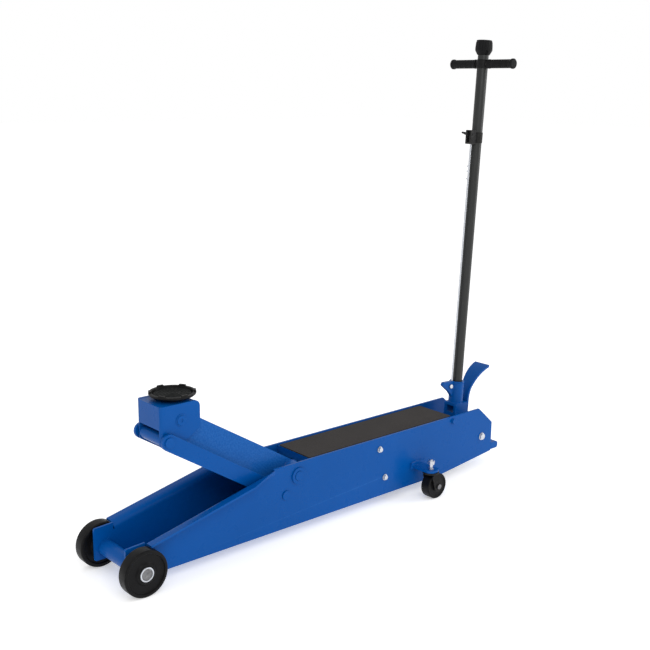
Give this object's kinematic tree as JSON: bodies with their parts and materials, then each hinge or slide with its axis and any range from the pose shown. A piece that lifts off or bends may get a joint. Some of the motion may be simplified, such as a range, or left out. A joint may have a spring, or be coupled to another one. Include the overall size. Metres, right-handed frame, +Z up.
{
  "type": "long chassis hydraulic service jack",
  "caption": "Long low trolley jack: steel side-plate chassis on wheels and casters, parallel-link lifting arm with a round saddle, upright T-handle with foot pedal.",
  "frame": {"origin": "on the floor, under the middle of the whole jack's bounding box", "axes": "+X runs back from the saddle end to the handle end, -Y is the left side, +Z up"},
  "size_m": [1.4778, 0.3386, 1.4021],
  "materials": {
    "blue_paint": "gloss",
    "black_iron": "satin",
    "black_tube": "satin",
    "black_plastic": "satin",
    "black_rubber": "matt",
    "tread_rubber": "matt",
    "bright_steel": "zinc plated",
    "dark_steel": "oiled",
    "chrome": "polished"
  },
  "bodies": {
    "chassis": {"side_plate_left": "blue_paint", "side_plate_right": "blue_paint", "floor_plate": "blue_paint", "cover_plate": "blue_paint", "tread_mat": "tread_rubber", "rear_cross_bar": "blue_paint", "front_axle": "dark_steel", "axle_tube": "blue_paint", "axle_ring_left": "bright_steel", "axle_ring_right": "bright_steel", "arm_pivot_shaft": "blue_paint", "link_pin_left": "blue_paint", "link_pin_right": "blue_paint", "frame_bolt_upper": "bright_steel", "frame_bolt_lower": "bright_steel", "frame_bolt_rear": "blue_paint", "handle_pivot_shaft": "bright_steel", "cylinder_barrel": "blue_paint", "valve_block": "dark_steel", "oil_reservoir": "blue_paint", "pump_block": "dark_steel", "caster_bracket_left": "blue_paint", "caster_bracket_right": "blue_paint", "caster_bolt_left": "bright_steel", "caster_bolt_right": "bright_steel"},
    "wheel_left": {"front_wheel_left": "black_iron", "front_bearing_left": "dark_steel"},
    "wheel_right": {"front_wheel_right": "black_iron", "front_bearing_right": "dark_steel"},
    "fork_left": {"caster_fork_left": "black_iron", "caster_axle_left": "dark_steel"},
    "fork_right": {"caster_fork_right": "black_iron", "caster_axle_right": "dark_steel"},
    "roller_left": {"caster_wheel_left": "black_iron"},
    "roller_right": {"caster_wheel_right": "black_iron"},
    "arm": {"lift_arm": "blue_paint", "crank_pin": "bright_steel"},
    "links": {"link_left": "blue_paint", "link_right": "blue_paint", "link_front_shaft": "blue_paint"},
    "head": {"saddle_bracket": "blue_paint", "arm_front_pin": "blue_paint"},
    "saddle_dish": {"saddle": "black_iron", "saddle_pad": "black_rubber"},
    "ram": {"ram_rod": "chrome", "ram_head": "dark_steel"},
    "plunger": {"pump_plunger": "chrome"},
    "handle": {"handle_yoke": "blue_paint", "foot_pedal": "blue_paint", "ear_bolt": "bright_steel", "handle_tube": "black_tube", "t_bar": "black_tube", "grip_left": "black_rubber", "grip_right": "black_rubber", "latch_clamp": "black_tube"},
    "release": {"release_knob": "black_plastic", "release_rod": "bright_steel"},
    "lever": {"latch_lever": "black_tube"},
    "latch": {"latch_rod": "bright_steel"}
  },
  "joints": [
    {"name": "wheel_left_spin", "type": "hinge", "parent": "chassis", "child": "wheel_left", "pos_m": [-0.67638, -0.111, 0.0625], "axis": [0, 1, 0], "continuous": true},
    {"name": "wheel_right_spin", "type": "hinge", "parent": "chassis", "child": "wheel_right", "pos_m": [-0.67638, 0.111, 0.0625], "axis": [0, 1, 0], "continuous": true},
    {"name": "caster_left_swivel", "type": "hinge", "parent": "chassis", "child": "fork_left", "pos_m": [0.33862, -0.143, 0.086], "axis": [0, 0, 1], "continuous": true},
    {"name": "caster_left_spin", "type": "hinge", "parent": "fork_left", "child": "roller_left", "pos_m": [0.35362, -0.143, 0.0405], "axis": [0, 1, 0], "continuous": true},
    {"name": "caster_right_swivel", "type": "hinge", "parent": "chassis", "child": "fork_right", "pos_m": [0.33862, 0.143, 0.086], "axis": [0, 0, 1], "continuous": true},
    {"name": "caster_right_spin", "type": "hinge", "parent": "fork_right", "child": "roller_right", "pos_m": [0.35362, 0.143, 0.0405], "axis": [0, 1, 0], "continuous": true},
    {"name": "arm_lift", "type": "hinge", "parent": "chassis", "child": "arm", "pos_m": [-0.14838, 0, 0.179], "axis": [0, 1, 0], "range_deg": [-41, 20]},
    {"name": "head_level", "type": "hinge", "parent": "arm", "child": "head", "pos_m": [-0.51863, 0, 0.41487], "axis": [0, 1, 0], "range_deg": [-20.5, 41.5]},
    {"name": "link_swing", "type": "hinge", "parent": "chassis", "child": "links", "pos_m": [-0.19338, 0, 0.131], "axis": [0, 1, 0], "range_deg": [-41.5, 20.5]},
    {"name": "saddle_turn", "type": "hinge", "parent": "head", "child": "saddle_dish", "pos_m": [-0.50763, 0, 0.46], "axis": [0, 0, 1], "continuous": true},
    {"name": "ram_extend", "type": "slide", "parent": "chassis", "child": "ram", "axis": [-1, 0, 0], "range_m": [-0.0655, 0.0325]},
    {"name": "handle_pump", "type": "hinge", "parent": "chassis", "child": "handle", "pos_m": [0.64862, 0, 0.118], "axis": [0, 1, 0], "range_deg": [0, 60]},
    {"name": "pump_stroke", "type": "slide", "parent": "chassis", "child": "plunger", "axis": [-1, 0, 0], "range_m": [0, 0.0302]},
    {"name": "release_turn", "type": "hinge", "parent": "handle", "child": "release", "pos_m": [0.67204, 0, 1.35529], "axis": [0.0593, 0, 0.9982], "range_deg": [0, 90]},
    {"name": "latch_squeeze", "type": "hinge", "parent": "handle", "child": "lever", "pos_m": [0.62136, 0, 1.10936], "axis": [0, -1, 0], "range_deg": [0, 18]},
    {"name": "latch_lift", "type": "slide", "parent": "handle", "child": "latch", "axis": [0.0593, 0, 0.9982], "range_m": [0, 0.0031]}
  ],
  "couplings": [
    {"joint": "head_level", "follows": "arm_lift", "ratio": -1},
    {"joint": "link_swing", "follows": "arm_lift", "ratio": 1},
    {"joint": "ram_extend", "follows": "arm_lift", "m_per_rad": 0.0904},
    {"joint": "pump_stroke", "follows": "handle_pump", "m_per_rad": 0.0285},
    {"joint": "latch_squeeze", "follows": "latch_lift", "rad_per_m": 100}
  ]
}
